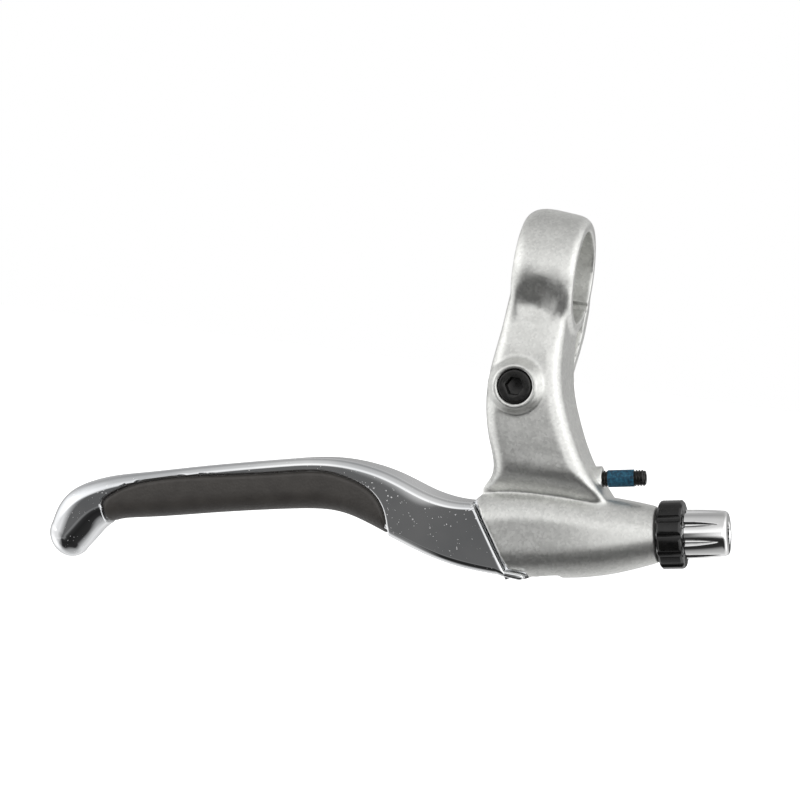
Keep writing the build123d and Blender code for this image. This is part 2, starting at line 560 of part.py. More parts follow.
SCALLOP_RADIUS = 1.15        # of the grooves between the lobes
SCALLOP_OUT = 0.55
RING_BEVEL = 0.5
with BuildPart() as lock_ring:
    # disc with bevelled rims, turned about the cable axis
    cable_axis = Axis(cable_point(LOCK_RING_GAP), along_cable(0).z_dir)
    with BuildSketch(Plane(origin=cable_axis.position, x_dir=cable_axis.direction, z_dir=(0, -1, 0))):
        with BuildLine():
            Polyline((0, 0), (0, LOCK_RING_RADIUS - RING_BEVEL), (RING_BEVEL, LOCK_RING_RADIUS),
                     (LOCK_RING_WIDTH - RING_BEVEL, LOCK_RING_RADIUS),
                     (LOCK_RING_WIDTH, LOCK_RING_RADIUS - RING_BEVEL), (LOCK_RING_WIDTH, 0), close=True)
        make_face()
    revolve(axis=cable_axis)
    with BuildSketch(along_cable(LOCK_RING_GAP)):
        with PolarLocations(LOCK_RING_RADIUS + SCALLOP_OUT, LOCK_RING_LOBES):
            Circle(SCALLOP_RADIUS)
        Circle(THREAD_RADIUS + THREAD_FIT)
        with Locations((0, -LOCK_RING_RADIUS)):
            Rectangle(CABLE_SLOT, 2 * LOCK_RING_RADIUS)
    extrude(amount=LOCK_RING_WIDTH, mode=Mode.SUBTRACT)
lock_ring.part.label = "lock_ring"
export_step(lock_ring.part, "parts/lock_ring.step")

# ---- reach screw, with its patch of thread lock ----
with BuildPart() as reach_screw:
    with BuildSketch(along_cable(REACH_TIP_AT, REACH_AXIS_RISE)):
        Circle(REACH_RADIUS)
    extrude(amount=REACH_LENGTH)
    chamfer(reach_screw.edges().filter_by(GeomType.CIRCLE), 0.35)
    with BuildSketch(along_cable(REACH_TIP_AT + REACH_LENGTH, REACH_AXIS_RISE)):
        RegularPolygon(REACH_HEX / 2, 6, major_radius=False)
    extrude(amount=-REACH_HEX_DEPTH, mode=Mode.SUBTRACT)
reach_screw.part.label = "reach_screw"
export_step(reach_screw.part, "parts/reach_screw.step")

with BuildPart() as thread_lock_patch:
    with BuildSketch(along_cable(REACH_TIP_AT + REACH_LENGTH - PATCH_FROM_END, REACH_AXIS_RISE)):
        Circle(REACH_RADIUS + PATCH_THICKNESS)
        Circle(REACH_RADIUS + 0.005, mode=Mode.SUBTRACT)
        with Locations((FAR / 2, 0)):
            Rectangle(FAR, FAR, mode=Mode.SUBTRACT)
    extrude(amount=PATCH_LENGTH)
thread_lock_patch.part.label = "thread_lock_patch"
export_step(thread_lock_patch.part, "parts/thread_lock_patch.step")
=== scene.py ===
import json
from math import cos, radians, sin

import bmesh
import bpy
import numpy as np
from mathutils import Matrix, Vector


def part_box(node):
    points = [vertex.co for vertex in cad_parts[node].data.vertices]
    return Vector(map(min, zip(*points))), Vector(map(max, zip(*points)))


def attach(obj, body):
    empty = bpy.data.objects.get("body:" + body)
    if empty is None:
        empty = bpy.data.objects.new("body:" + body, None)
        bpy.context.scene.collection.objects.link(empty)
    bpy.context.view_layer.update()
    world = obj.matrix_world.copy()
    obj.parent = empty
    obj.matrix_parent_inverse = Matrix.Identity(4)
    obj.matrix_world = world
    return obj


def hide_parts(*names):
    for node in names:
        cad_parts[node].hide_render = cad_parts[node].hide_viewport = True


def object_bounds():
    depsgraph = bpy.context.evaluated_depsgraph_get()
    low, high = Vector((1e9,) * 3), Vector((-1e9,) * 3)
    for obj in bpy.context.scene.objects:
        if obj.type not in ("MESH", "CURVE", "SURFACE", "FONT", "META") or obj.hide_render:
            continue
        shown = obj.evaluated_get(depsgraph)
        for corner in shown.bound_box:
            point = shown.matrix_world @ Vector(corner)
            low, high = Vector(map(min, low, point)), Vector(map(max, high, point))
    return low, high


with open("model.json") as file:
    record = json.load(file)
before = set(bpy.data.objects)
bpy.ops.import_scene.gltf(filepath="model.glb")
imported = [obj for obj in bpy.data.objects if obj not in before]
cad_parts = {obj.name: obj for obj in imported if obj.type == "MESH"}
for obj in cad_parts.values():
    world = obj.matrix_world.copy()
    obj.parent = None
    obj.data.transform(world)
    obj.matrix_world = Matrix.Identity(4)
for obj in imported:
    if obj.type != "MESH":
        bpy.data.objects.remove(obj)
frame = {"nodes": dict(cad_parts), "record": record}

cad_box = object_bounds()
MM = 0.001
nodes = frame["nodes"]
record = frame["record"]
mounts = {m["name"]: m for m in record["mounts"]}

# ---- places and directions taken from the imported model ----
CABLE_DIR = Vector(mounts["cable_housing_seat"]["axis"]).normalized()
CABLE_SEAT = Vector(mounts["cable_housing_seat"]["pos_m"])
LEVER_Y = CABLE_SEAT.y
CABLE_UP = Vector((-CABLE_DIR.z, 0, CABLE_DIR.x))

# ---- camera: the photograph's viewing angle ----
ROLL = radians(8)           # the bar's axis falls this much to the right in the picture
AZIMUTH = radians(7)        # the camera stands this much to the right of the lever's normal
PICTURE_RIGHT = Vector((cos(ROLL) * cos(AZIMUTH), sin(AZIMUTH), sin(ROLL) * cos(AZIMUTH)))
PICTURE_UP = Vector((-sin(ROLL), 0, cos(ROLL)))
PICTURE_NEAR = Vector((cos(ROLL) * sin(AZIMUTH), -cos(AZIMUTH), sin(ROLL) * sin(AZIMUTH)))
STAND = (44.4 * MM, -28.1 * MM, 637 * MM)      # right, up and near of the clamp's centre
SENSOR = 36.0
FRAME_WIDTH = 0.196         # what the picture spans at the lever


def make_camera():
    """Camera where the photograph was taken from, turned to look at the middle of the lever."""
    place = PICTURE_RIGHT * STAND[0] + PICTURE_UP * STAND[1] + PICTURE_NEAR * STAND[2]
    low, high = cad_box
    target = (low + high) / 2
    near = (place - target).normalized()
    right = PICTURE_UP.cross(near).normalized()
    up = near.cross(right)
    data = bpy.data.cameras.new("camera")
    data.sensor_width = SENSOR
    data.lens = SENSOR * (place - target).length / FRAME_WIDTH
    data.clip_start = 0.01
    camera = bpy.data.objects.new("camera", data)
    camera.matrix_world = Matrix((
        (right.x, up.x, near.x, place.x),
        (right.y, up.y, near.y, place.y),
        (right.z, up.z, near.z, place.z),
        (0, 0, 0, 1),
    ))
    bpy.context.scene.collection.objects.link(camera)
    bpy.context.scene.camera = camera


# ---- materials ----

class Shader:
    """A node material with one Principled surface, and short calls for the nodes it is made of."""

    def __init__(self, name, **sockets):
        self.material = bpy.data.materials.new(name)
        self.material.use_nodes = True
        self.tree = self.material.node_tree
        self.surface = self.tree.nodes["Principled BSDF"]
        for socket, value in sockets.items():
            self.surface.inputs[socket.replace("_", " ")].default_value = value
        self.place = self.tree.nodes.new("ShaderNodeTexCoord").outputs["Object"]

    def node(self, kind, inputs=None, **settings):
        made = self.tree.nodes.new(kind)
        for key, value in settings.items():
            setattr(made, key, value)
        for socket, value in (inputs or {}).items():
            if isinstance(value, bpy.types.NodeSocket):
                self.tree.links.new(value, made.inputs[socket])
            else:
                made.inputs[socket].default_value = value
        return made

    def noise(self, scale, detail=2.0, roughness=0.5):
        return self.node("ShaderNodeTexNoise", {"Vector": self.place, "Scale": scale, "Detail": detail,
                                                "Roughness": roughness}).outputs["Fac"]

    def cells(self, scale, output="Distance"):
        return self.node("ShaderNodeTexVoronoi", {"Vector": self.place, "Scale": scale}).outputs[output]

    def ramp(self, factor, stops):
        made = self.node("ShaderNodeValToRGB", {"Fac": factor})
        ends = made.color_ramp.elements
        for index, (position, colour) in enumerate(stops):
            stop = ends[index] if index < 2 else ends.new(position)
            stop.position = position
            stop.color = colour if len(colour) == 4 else (*colour, 1)
        return made.outputs["Color"]

    def range(self, factor, low, high, from_low=0.0, from_high=1.0):
        return self.node("ShaderNodeMapRange", {"Value": factor, "From Min": from_low, "From Max": from_high,
                                                "To Min": low, "To Max": high}).outputs["Result"]

    def math(self, operation, first, second):
        return self.node("ShaderNodeMath", {0: first, 1: second}, operation=operation).outputs["Value"]

    def bump(self, height, distance, strength):
        inputs = {"Height": height, "Distance": distance, "Strength": strength}
        return self.node("ShaderNodeBump", inputs).outputs["Normal"]

    def link(self, output, socket):
        self.tree.links.new(output, self.surface.inputs[socket])


def grey(value, warmth=0.0):
    return (value * (1 + warmth), value, value * (1 - warmth))


def silver_paint():
    """Sprayed silver: fine aluminium flake that glints, in a slightly uneven satin film."""
    shader = Shader("silver_paint", Metallic=0.85)
    flake = shader.cells(1700, output="Color")
    flake = shader.node("ShaderNodeRGBToBW", {"Color": flake}).outputs["Val"]
    cloud = shader.noise(420, 3.0, 0.6)
    mixed = shader.math("ADD", shader.math("MULTIPLY", flake, 0.55), shader.math("MULTIPLY", cloud, 0.45))
    shader.link(shader.ramp(mixed, [(0.25, (0.71, 0.713, 0.69)), (0.5, (0.79, 0.793, 0.768)),
                                    (0.75, (0.88, 0.883, 0.857))]), "Base Color")
    shader.link(shader.range(flake, 0.33, 0.41), "Roughness")
    shader.link(shader.bump(shader.noise(1200, 2.0, 0.6), 0.00001, 0.35), "Normal")
    return shader.material


def polished_aluminium(pitted):
    """Buffed aluminium: soft waves from the wheel and, on the blade, patches of small pale pits."""
    shader = Shader("blade_polish" if pitted else "barrel_polish", Metallic=1.0)
    cloud = shader.noise(60, 3.0)
    if pitted:
        tone = shader.ramp(cloud, [(0.3, (0.68, 0.695, 0.715)), (0.7, (0.90, 0.905, 0.91))])
        spacing = shader.cells(1100)
        crowding = shader.range(shader.noise(240, 2.0), 0.7, 2.2, 0.35, 0.65)
        patchy = shader.math("MULTIPLY", spacing, crowding)
        pits = shader.ramp(patchy, [(0.10, grey(1.0)), (0.20, grey(0.0))])
        pit_mix = shader.node("ShaderNodeMix", {0: pits, 6: tone, 7: (*grey(0.95), 1)}, data_type="RGBA")
        tone = pit_mix.outputs[2]
        shader.link(shader.range(pits, 0.045, 0.45), "Roughness")
    else:
        tone = shader.ramp(cloud, [(0.3, grey(0.80, -0.004)), (0.7, grey(0.92, 0.002))])
        shader.link(shader.range(shader.noise(400, 4.0, 0.6), 0.05, 0.16), "Roughness")
    shader.link(tone, "Base Color")
    shader.link(shader.bump(shader.noise(120, 2.0), 0.00002, 0.3), "Normal")
    return shader.material


def insert_rubber():
    """Moulded rubber with a fine dot texture and a dusty, warm dark grey."""
    shader = Shader("insert_rubber", Specular_IOR_Level=0.6, Sheen_Weight=0.1, Sheen_Roughness=0.4)
    dots = shader.cells(1400)
    cloud = shader.noise(220, 3.0)
    tone = shader.ramp(cloud, [(0.3, (0.047, 0.042, 0.038)), (0.7, (0.066, 0.060, 0.054))])
    shader.link(tone, "Base Color")
    shader.link(shader.range(dots, 0.42, 0.56, 0.0, 0.6), "Roughness")
    shader.link(shader.bump(dots, 0.00008, 0.6), "Normal")
    return shader.material


def black_finish(name, tone, rough_low, rough_high, metallic):
    """Black oxide or anodising with rubbed, slightly uneven gloss."""
    shader = Shader(name, Metallic=metallic)
    cloud = shader.noise(700, 4.0, 0.6)
    shader.link(shader.ramp(cloud, [(0.35, grey(tone * 0.7)), (0.7, grey(tone * 1.4, 0.03))]), "Base Color")
    shader.link(shader.range(cloud, rough_low, rough_high), "Roughness")
    shader.link(shader.bump(shader.noise(2500, 2.0), 0.00001, 0.4), "Normal")
    return shader.material


def plain_finish(name, dark, light, rough, metallic=0.0, grain=1500):
    """Small hidden pieces: two tones of one colour in a fine grain."""
    shader = Shader(name, Metallic=metallic)
    cloud = shader.noise(grain, 3.0)
    shader.link(shader.ramp(cloud, [(0.3, dark), (0.7, light)]), "Base Color")
    shader.link(shader.range(cloud, rough - 0.06, rough + 0.08), "Roughness")
    shader.link(shader.bump(cloud, 0.00002, 0.4), "Normal")
    return shader.material


def thread_lock():
    """Dried blue thread-lock: mottled, worn through on the crests."""
    shader = Shader("thread_lock", Specular_IOR_Level=0.4)
    cloud = shader.noise(1400, 3.0, 0.7)
    shader.link(shader.ramp(cloud, [(0.36, (0.006, 0.03, 0.06)), (0.5, (0.01, 0.085, 0.15)),
                                    (0.68, (0.03, 0.16, 0.25))]), "Base Color")
    shader.link(shader.range(cloud, 0.4, 0.65), "Roughness")
    shader.link(shader.bump(cloud, 0.00006, 0.7), "Normal")
    return shader.material


PAINT = silver_paint()
BLADE = polished_aluminium(True)
BARREL = polished_aluminium(False)
RUBBER = insert_rubber()
BLACK_STEEL = black_finish("black_steel", 0.028, 0.2, 0.36, 0.5)
BLACK_RING = black_finish("black_anodised", 0.010, 0.14, 0.26, 0.1)
SPRING = plain_finish("spring_wire", grey(0.35), grey(0.5), 0.35, 1.0)
NYLON = plain_finish("bushing_nylon", grey(0.62, 0.03), grey(0.72, 0.03), 0.5)
PATCH = thread_lock()


# ---- mesh tools ----

def finish_piece(piece, body, slot, material, *stands_for):
    """Gives a new piece its material and its body, and hides the CAD nodes it stands for."""
    piece.data.materials.clear()
    piece.data.materials.append(material)
    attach(piece, body)
    if stands_for:
        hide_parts(*stands_for)
    return piece


def link_mesh(name, mesh):
    piece = bpy.data.objects.new(name, mesh)
    bpy.context.scene.collection.objects.link(piece)
    return piece


def clean_copy(node, name):
    """A welded copy of a CAD node's mesh, with flat faces whole again, as a new piece."""
    form = bmesh.new()
    form.from_mesh(nodes[node].data)
    bmesh.ops.remove_doubles(form, verts=form.verts, dist=2e-6)
    bmesh.ops.dissolve_limit(form, angle_limit=radians(0.6), verts=form.verts, edges=form.edges)
    mesh = bpy.data.meshes.new(name)
    form.to_mesh(mesh)
    form.free()
    return link_mesh(name, mesh)


def apply_modifiers(piece):
    """Bakes a piece's modifiers into its mesh."""
    view = bpy.context.evaluated_depsgraph_get()
    mesh = bpy.data.meshes.new_from_object(piece.evaluated_get(view))
    piece.modifiers.clear()
    piece.data = mesh
    return piece


def smooth_shade(piece, angle=None):
    """Smooth shading, with edges sharper than the angle kept."""
    mesh = piece.data
    mesh.shade_smooth()
    if angle is not None:
        mesh.set_sharp_from_angle(angle=angle)
    return piece


def smooth_step(value, low, high):
    t = np.clip((value - low) / (high - low), 0, 1)
    return t * t * (3 - 2 * t)


def round_edges(piece, width, sharper_than, segments=3, miter="MITER_SHARP"):
    """Breaks the edges of a piece that are sharper than an angle with a small round."""
    bevel = piece.modifiers.new("edges", "BEVEL")
    bevel.width = width
    bevel.segments = segments
    bevel.limit_method = "ANGLE"
    bevel.angle_limit = sharper_than
    bevel.miter_outer = miter
    apply_modifiers(piece)


def bevelled(node, name, width):
    """A copy of a CAD node whose edges are broken by a small round, as machined and moulded edges are."""
    piece = clean_copy(node, name)
    round_edges(piece, width, radians(32), miter="MITER_ARC")
    return smooth_shade(piece, radians(35))


# ---- body casting ----
FINE_VOXEL = 0.34           # mesh size of the skin, in mm
EVEN_PASSES = 8             # of smoothing over the whole skin
BLEND_CORE = 0.55           # share of a blend's reach that is smoothed in full
# places where the casting's forms flow into one another, in mm: centre, reach along X, Y and Z, passes
BLENDS = (
    ((-0.6, -13.5, -9.5), (8.8, 8.0, 10.0), 420),      # foot of the clamp ring, on the front of the arm
    ((7.0, -11.0, -53.0), (17.0, 6.0, 5.0), 24),       # foot of the arm, on the cable housing
    ((-9.5, -9.0, -52.0), (4.5, 6.0, 5.5), 60),        # outer end of that foot
    ((21.0, -9.0, -53.5), (6.0, 6.0, 5.0), 60),        # its inner end
    ((12.0, -2.5, -74.0), (8.0, 9.0, 4.5), 60),        # underside of the housing, where the pocket ends
)
# how far the skin moves from place to place, in mm: centre, reach, and the move at the centre
SCULPT = (
    ((-0.6, -13.0, -7.0), (5.8, 9.0, 6.6), (0, 1.2, 0)),        # shallow hollow under the ring
    ((-7.4, -12.5, -8.5), (4.2, 9.0, 6.5), (0, -0.8, 0)),       # fuller on either side of it
    ((6.6, -12.5, -8.5), (4.2, 9.0, 6.5), (0, -0.7, 0)),
    ((6.0, -13.0, -47.0), (17.0, 6.0, 5.0), (0, -0.5, 0)),      # the arm, just above its foot
    ((8.8, -2.5, -74.5), (5.6, 14.0, 4.0), (0, 0, -0.5)),       # underside of the housing, by the pocket
)
# room for the lever's lower lip, under the left end of the housing: outline (x, z) and half depth, in mm
LIP_ROOM = ((-4.0, -71.35), (4.8, -71.65), (5.2, -72.0), (5.3, -73.0), (5.6, -76.0), (-4.0, -76.0))
LIP_ROOM_DEPTH = 20


def slab(name, outline, near, far):
    """A flat piece with its outline (x, z) seen from the front, from one depth to another, in mm."""
    count = len(outline)
    points = [(x * MM, y * MM, z * MM) for y in (near, far) for x, z in outline]
    faces = [tuple(range(count)), tuple(range(2 * count - 1, count - 1, -1))]
    faces += [(i, (i + 1) % count, count + (i + 1) % count, count + i) for i in range(count)]
    mesh = bpy.data.meshes.new(name)
    mesh.from_pydata(points, [], faces)
    form = bmesh.new()
    form.from_mesh(mesh)
    bmesh.ops.recalc_face_normals(form, faces=form.faces)
    form.to_mesh(mesh)
    form.free()
    return link_mesh(name, mesh)


def vertex_places(piece):
    """Where a piece's vertices are, in metres, one row each."""
    place = np.empty(len(piece.data.vertices) * 3)
    piece.data.vertices.foreach_get("co", place)
    return place.reshape(-1, 3)


def smoothed(piece, passes, group=None):
    """Evens out a piece's skin, everywhere or by a vertex group's weights."""
    flow = piece.modifiers.new("flow", "SMOOTH")
    flow.factor = 0.5
    flow.iterations = passes
    if group is not None:
        flow.vertex_group = group.name
    apply_modifiers(piece)


def body_casting():
    """The casting with its edges and inner corners rounded, as a painted die casting has them."""
    piece = clean_copy("body_casting", "cast_body")
    cutter = slab("lip_room", LIP_ROOM, -LIP_ROOM_DEPTH, LIP_ROOM_DEPTH)
    cut = piece.modifiers.new("lip_room", "BOOLEAN")
    cut.operation = "DIFFERENCE"
    cut.solver = "EXACT"
    cut.object = cutter
    apply_modifiers(piece)
    bpy.data.objects.remove(cutter)
    voxel = FINE_VOXEL
    share = (FINE_VOXEL / voxel) ** 2          # a coarser skin needs fewer passes for the same roundness
    remesh = piece.modifiers.new("skin", "REMESH")
    remesh.mode = "VOXEL"
    remesh.voxel_size = voxel * MM
    apply_modifiers(piece)
    smoothed(piece, round(EVEN_PASSES * share))
    for number, (centre, reach, passes) in enumerate(BLENDS):
        away = np.linalg.norm((vertex_places(piece) / MM - centre) / reach, axis=1)
        weight = 1 - smooth_step(away, BLEND_CORE, 1.0)
        group = piece.vertex_groups.new(name="blend_%d" % number)
        for index in np.nonzero(weight)[0]:
            group.add([int(index)], float(weight[index]), "REPLACE")
        smoothed(piece, round(passes * share), group)
    piece.vertex_groups.clear()
    place = vertex_places(piece)
    for centre, reach, move in SCULPT:
        away = np.linalg.norm((place / MM - centre) / reach, axis=1)
        place += (1 - smooth_step(away, 0.0, 1.0))[:, None] * np.array(move) * MM
    piece.data.vertices.foreach_set("co", place.ravel())
    smooth_shade(piece)
    return finish_piece(piece, "body", "body_paint", PAINT, "body_casting")


# ---- lever blade and rubber ----
# stations from the tip to the seam, in mm: upper edge (x, z), lower edge (x, z), depth along Y,
# and the radii of the upper and lower corners of the metal, and of the rubber's lower corners
STATIONS = (
    (-118.1, -78.2, -108.5, -83.8, 11.0, 5.50, 5.50, 5.5),
    (-117.0, -74.6, -106.5, -81.0, 11.6, 5.30, 5.50, 5.4),
    (-114.4, -70.6, -104.8, -78.4, 12.2, 4.70, 5.30, 5.2),
    (-107.3, -66.1, -101.8, -75.8, 12.8, 3.70, 4.80, 5.0),
    (-95.0, -62.4, -92.6, -73.5, 13.4, 2.60, 4.40, 5.0),
    (-79.5, -58.5, -77.0, -70.1, 13.8, 2.10, 4.00, 5.0),
    (-60.0, -54.0, -57.4, -66.1, 14.0, 1.90, 3.40, 5.0),
    (-44.5, -51.7, -45.5, -64.6, 14.2, 1.90, 2.80, 5.0),
    (-33.0, -52.9, -38.0, -65.7, 14.8, 1.90, 2.30, 4.6),
    (-23.0, -56.0, -26.5, -69.3, 16.2, 1.90, 2.10, 4.0),
    (-15.0, -57.3, -12.5, -72.6, 18.2, 1.90, 2.00, 4.0),
    (-9.9, -57.0, 0.9, -73.2, 18.8, 1.90, 2.00, 4.0),
)
RING_STEP = 0.27
FACE_STEPS, CORNER_STEPS, EDGE_STEPS = ((52, 10, 22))
PANEL_CROWN = 0.16          # how far the middle of a tall side panel stands out
CROWNED = 9.0               # height from which a panel counts as tall; lower ones stand out less
TIP_STEPS = 16
TIP_TURN = radians(88)      # how far round the rings of the tip go, just short of its point
SEAM_STEPS = 4
SEAM_CLEAR = 0.05           # from the last whole ring to the rounded edge
TIP_LENGTH = 0.93           # how long the round tip is, for its radius
END_ROUND = 0.55            # of the blade's edge along the seam
# upper edge of the rubber, seen from the front, from its left end to its lower right corner
RUBBER_EDGE = ((-103.7, -73.2), (-103.9, -71.2), (-101.4, -68.3), (-97.0, -65.7), (-89.2, -63.0),
               (-73.4, -59.7), (-57.5, -56.6), (-47.1, -55.1), (-41.3, -55.9), (-35.1, -58.4),
               (-32.2, -61.5), (-30.2, -66.9))
RUBBER_BELOW = ((-29.0, -80.0), (-99.0, -88.0), (-100.6, -79.2), (-102.9, -76.2))
RECESS = 1.1                # depth of the metal under the rubber's edge
LIP_ROUND = 0.35
RUBBER_GAP = 0.2
RUBBER_SINK = 0.12
RUBBER_ROUND = 1.1
RUBBER_THICKNESS = 0.6
RUBBER_TUCK = 0.25          # past the rubber's outline, where its skin is down by the recess's depth
RUBBER_HEM = 0.3            # how far the skin runs on past the outline, under the metal's surface


def natural_spline(points, samples):
    """Points on the smoothest cubic through the given ones, evenly spaced by chord length."""
    points = np.asarray(points, float)
    chord = np.linalg.norm(np.diff(points[:, :4], axis=0), axis=1)
    knots = np.concatenate([[0], np.cumsum(chord)])
    count = len(points)
    system = np.eye(count)
    wanted = np.zeros_like(points)
    for i in range(1, count - 1):
        before, after = chord[i - 1], chord[i]
        system[i, i - 1:i + 2] = before, 2 * (before + after), after
        wanted[i] = 6 * ((points[i + 1] - points[i]) / after - (points[i] - points[i - 1]) / before)
    bend = np.linalg.solve(system, wanted)
    at = np.linspace(0, knots[-1], samples)
    left = np.clip(np.searchsorted(knots, at, side="right") - 1, 0, count - 2)
    step = chord[left]
    u, w = (at - knots[left]) / step, (knots[left + 1] - at) / step
    return (points[left] * w[:, None] + points[left + 1] * u[:, None]
            + ((w ** 3 - w) * step ** 2 / 6)[:, None] * bend[left]
            + ((u ** 3 - u) * step ** 2 / 6)[:, None] * bend[left + 1])


def section(height, depth, upper, lower):
    """Outline of a rounded block, from the top of its front face down and round, as (y, up) points, and
    its normals."""
    half_h, half_d = height / 2, depth / 2
    points, normals = [], []

    def straight(start, end, normal, steps, crown=0.0):
        crown *= min(abs(end[1] - start[1]) / CROWNED, 1.0) ** 2
        for i in range(steps):
            t = i / steps
            bulge = crown * 4 * t * (1 - t)
            points.append((start[0] + (end[0] - start[0]) * t + normal[0] * bulge,
                           start[1] + (end[1] - start[1]) * t + normal[1] * bulge))
            normals.append(normal)

    def corner(centre, radius, first):
        for i in range(CORNER_STEPS):
            turn = radians(first + 90 * i / CORNER_STEPS)
            normals.append((cos(turn), sin(turn)))
            points.append((centre[0] + radius * cos(turn), centre[1] + radius * sin(turn)))

    straight((-half_d, half_h - upper), (-half_d, lower - half_h), (-1, 0), FACE_STEPS, PANEL_CROWN)
    corner((lower - half_d, lower - half_h), lower, 180)
    straight((lower - half_d, -half_h), (half_d - lower, -half_h), (0, -1), EDGE_STEPS)
    corner((half_d - lower, lower - half_h), lower, 270)
    straight((half_d, lower - half_h), (half_d, half_h - upper), (1, 0), FACE_STEPS, PANEL_CROWN)
    corner((half_d - upper, half_h - upper), upper, 0)
    straight((half_d - upper, half_h), (upper - half_d, half_h), (0, 1), EDGE_STEPS)
    corner((upper - half_d, half_h - upper), upper, 90)
    return np.array(points), np.array(normals)


def blade_rings(lower_column):
    """Rings of points round the blade, with their outward normals, from the tip to the seam."""
    length = np.linalg.norm(np.diff(np.array(STATIONS)[:, :4], axis=0), axis=1).sum() / 2 ** 0.5
    rows = natural_spline(STATIONS, int(length / RING_STEP))
    rings, outward = [], []
    for row in rows:
        top, bottom = np.array((row[0], row[1])), np.array((row[2], row[3]))
        height = np.linalg.norm(top - bottom)
        up = (top - bottom) / height
        limit = min(height, row[4]) / 2 - 0.02
        flat, normal = section(height, row[4], min(row[5], limit), min(row[lower_column], limit))
        middle = (top + bottom) / 2
        rings.append(np.stack([middle[0] + flat[:, 1] * up[0], LEVER_Y / MM + flat[:, 0],
                               middle[1] + flat[:, 1] * up[1]], axis=1))
        outward.append(np.stack([normal[:, 1] * up[0], normal[:, 0], normal[:, 1] * up[1]], axis=1))
    return rings, outward


def inside_rubber(x, z):
    """Distance in mm from points, seen from the front, to the rubber's outline: positive inside it."""
    edge = natural_spline([(px, pz, 0, 0) for px, pz in RUBBER_EDGE], 160)[:, :2]
    loop = np.concatenate([edge, np.array(RUBBER_BELOW)])
    place = np.stack([np.ravel(x), np.ravel(z)], axis=1)
    nearest = np.full(len(place), 1e9)
    crossings = np.zeros(len(place), int)
    for start, end in zip(loop, np.roll(loop, -1, axis=0)):
        side, offset = end - start, place - start
        along = np.clip(offset @ side / (side @ side), 0, 1)
        nearest = np.minimum(nearest, np.linalg.norm(offset - along[:, None] * side, axis=1))
        straddles = (start[1] > place[:, 1]) != (end[1] > place[:, 1])
        level = start[0] + side[0] * (place[:, 1] - start[1]) / (side[1] if side[1] else 1e-9)
        crossings += straddles & (place[:, 0] < level)
    return np.where(crossings % 2 == 1, nearest, -nearest).reshape(np.shape(x))


def skin(name, rings, caps=(True, True), keep=None):
    """A mesh through rings of points (mm), with its ends closed; keep says which quads stay."""
    count, around = rings.shape[:2]
    quads = []
    for i in range(count - 1):
        for j in range(around):
            after = (j + 1) % around
            if keep is None or keep[i, j]:
                here, beyond = i * around, (i + 1) * around
                quads.append((here + j, here + after, beyond + after, beyond + j))
    faces = list(quads)
    if caps[0]:
        faces.append(tuple(range(around - 1, -1, -1)))
    if caps[1]:
        faces.append(tuple(range((count - 1) * around, count * around)))
    mesh = bpy.data.meshes.new(name)
    mesh.from_pydata((rings.reshape(-1, 3) * MM).tolist(), [], faces)
    form = bmesh.new()
    form.from_mesh(mesh)
    loose = [v for v in form.verts if not v.link_faces]
    bmesh.ops.delete(form, geom=loose, context="VERTS")
    bmesh.ops.recalc_face_normals(form, faces=form.faces)
    form.to_mesh(mesh)
    form.free()
    return link_mesh(name, mesh)


def lever_blade():
    """The polished blade, hollowed where the rubber sits, with a round tip and a rounded end at the seam."""
    rings, outward = blade_rings(6)
    rings, outward = np.array(rings), np.array(outward)
    hollow = RECESS * smooth_step(inside_rubber(rings[..., 0], rings[..., 2]), -LIP_ROUND, RUBBER_GAP)
    rings = rings - outward * hollow[..., None]
    tip, seam = [], []
    middle = rings[0].mean(axis=0)
    reach = np.linalg.norm(rings[0] - middle, axis=1).mean() * TIP_LENGTH
    away = middle - rings[1].mean(axis=0)
    away /= np.linalg.norm(away)
    for step in range(TIP_STEPS, 0, -1):
        turn = TIP_TURN * step / TIP_STEPS
        tip.append(middle + (rings[0] - middle) * cos(turn) + away * reach * sin(turn))
    end = rings[-1].mean(axis=0)
    towards = np.array((-(STATIONS[-1][3] - STATIONS[-1][1]), 0, STATIONS[-1][2] - STATIONS[-1][0]))
    towards /= np.linalg.norm(towards)
    for step in range(1, SEAM_STEPS + 1):
        turn = radians(90) * step / SEAM_STEPS
        inward = outward[-1] * END_ROUND * (1 - cos(turn))
        seam.append(rings[-1] - inward + towards * END_ROUND * (sin(turn) - 1))
    rings[-1] = rings[-1] - towards * END_ROUND
    body_rings = [r for r in rings[:-1] if ((r - end) @ towards).max() < -END_ROUND - SEAM_CLEAR]
    piece = skin("blade_polished", np.array(tip + body_rings + [rings[-1]] + seam))
    smooth_shade(piece, radians(50))
    return finish_piece(piece, "lever", "polished_aluminium", BLADE, "lever_blade")


def grip_insert():
    """The rubber on the finger side, wrapped round the blade from front to rear, with rounded edges."""
    rings, outward = blade_rings(7)
    rings, outward = np.array(rings), np.array(outward)
    inside = inside_rubber(rings[..., 0], rings[..., 2])
    edge = np.clip((RUBBER_GAP + RUBBER_ROUND - inside) / RUBBER_ROUND, 0, 1)
    sink = RUBBER_SINK + RUBBER_ROUND * (1 - np.sqrt(1 - edge ** 2))
    sink = sink + RECESS * smooth_step(-inside, -RUBBER_GAP, RUBBER_TUCK)
    shaped = rings - outward * sink[..., None]
    used = inside > -RUBBER_HEM
    keep = used[:-1] & used[1:] & np.roll(used, -1, axis=1)[:-1] & np.roll(used, -1, axis=1)[1:]
    piece = skin("rubber_insert", shaped, (False, False), keep)
    shell = piece.modifiers.new("thickness", "SOLIDIFY")
    shell.thickness = RUBBER_THICKNESS * MM
    shell.offset = -1
    apply_modifiers(piece)
    smooth_shade(piece)
    return finish_piece(piece, "lever", "insert_rubber", RUBBER, "grip_insert")


